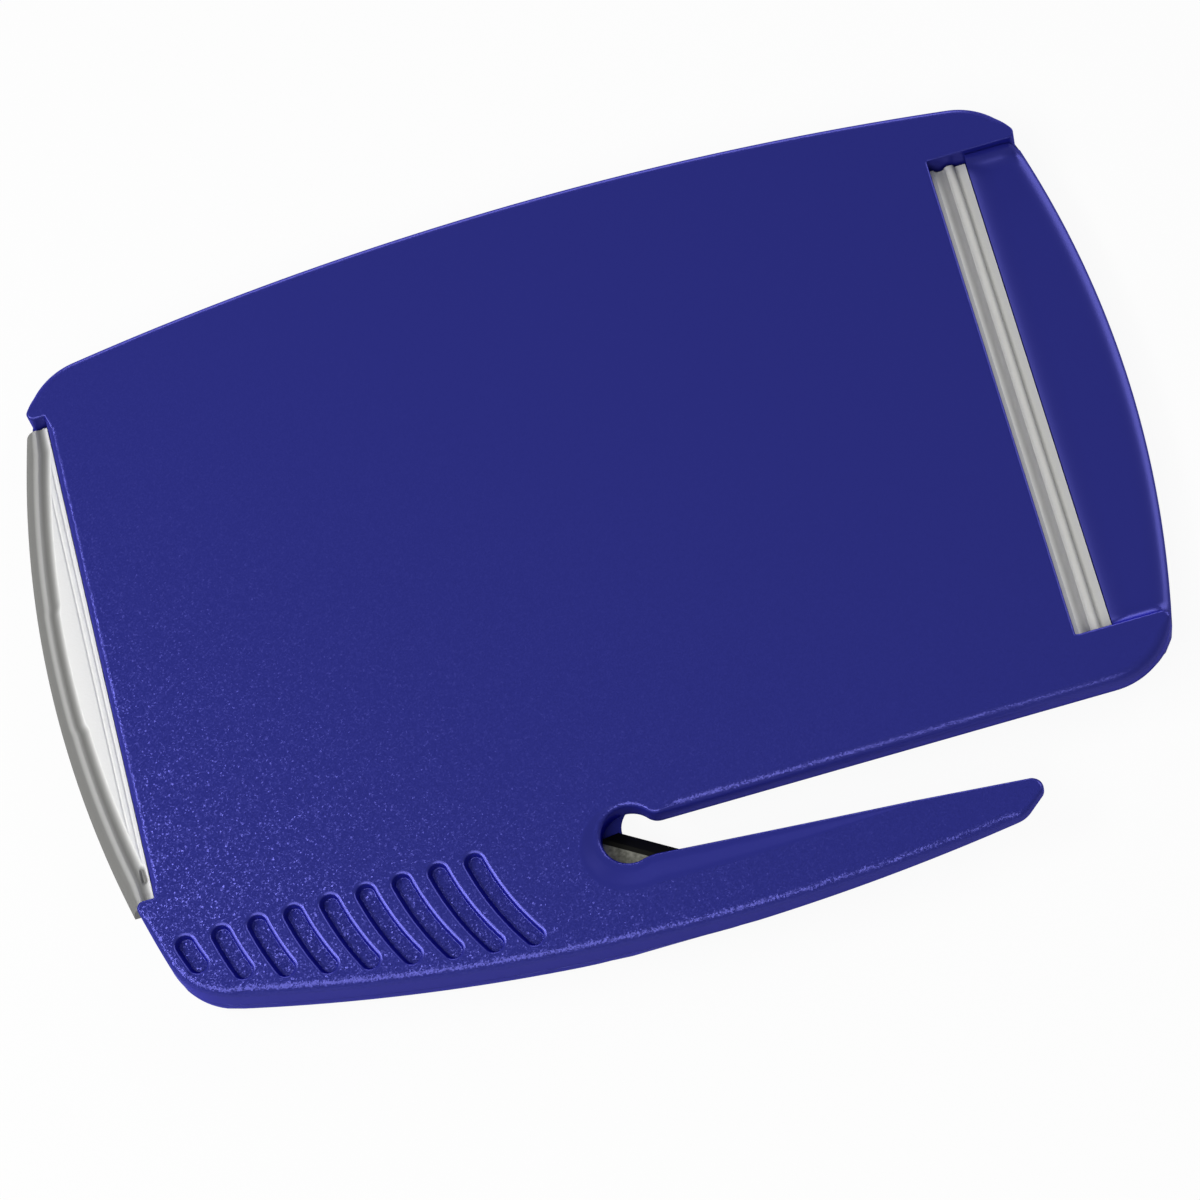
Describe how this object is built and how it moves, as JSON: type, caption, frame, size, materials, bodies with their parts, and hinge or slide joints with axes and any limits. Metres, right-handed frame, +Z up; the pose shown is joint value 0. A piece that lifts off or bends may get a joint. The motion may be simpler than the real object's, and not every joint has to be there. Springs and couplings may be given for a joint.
{
  "type": "business card letter slitter",
  "caption": "Flat card-size letter opener: two moulded plastic shells, a steel blade in the eye of a slitting arm, and a sliding card tray.",
  "frame": {"origin": "middle of the body's length between its two end arcs and of the card pocket's width, on the flat face it rests on", "axes": "+X along the body towards the thumb recess, +Y across the body away from the slitting arm, +Z up through the upper face"},
  "size_m": [0.1062, 0.0778, 0.0056],
  "materials": {
    "blue_plastic": "fine spark-eroded satin",
    "frosted_plastic": "frosted",
    "blade_steel": "ground"
  },
  "bodies": {
    "body": {"top_shell": "blue_plastic", "bottom_shell": "blue_plastic", "slitter_blade": "blade_steel"},
    "tray": {"card_tray": "frosted_plastic"}
  },
  "joints": [
    {"name": "tray_slide", "type": "slide", "parent": "body", "child": "tray", "axis": [-1, 0, 0], "range_m": [0, 0.062]}
  ]
}
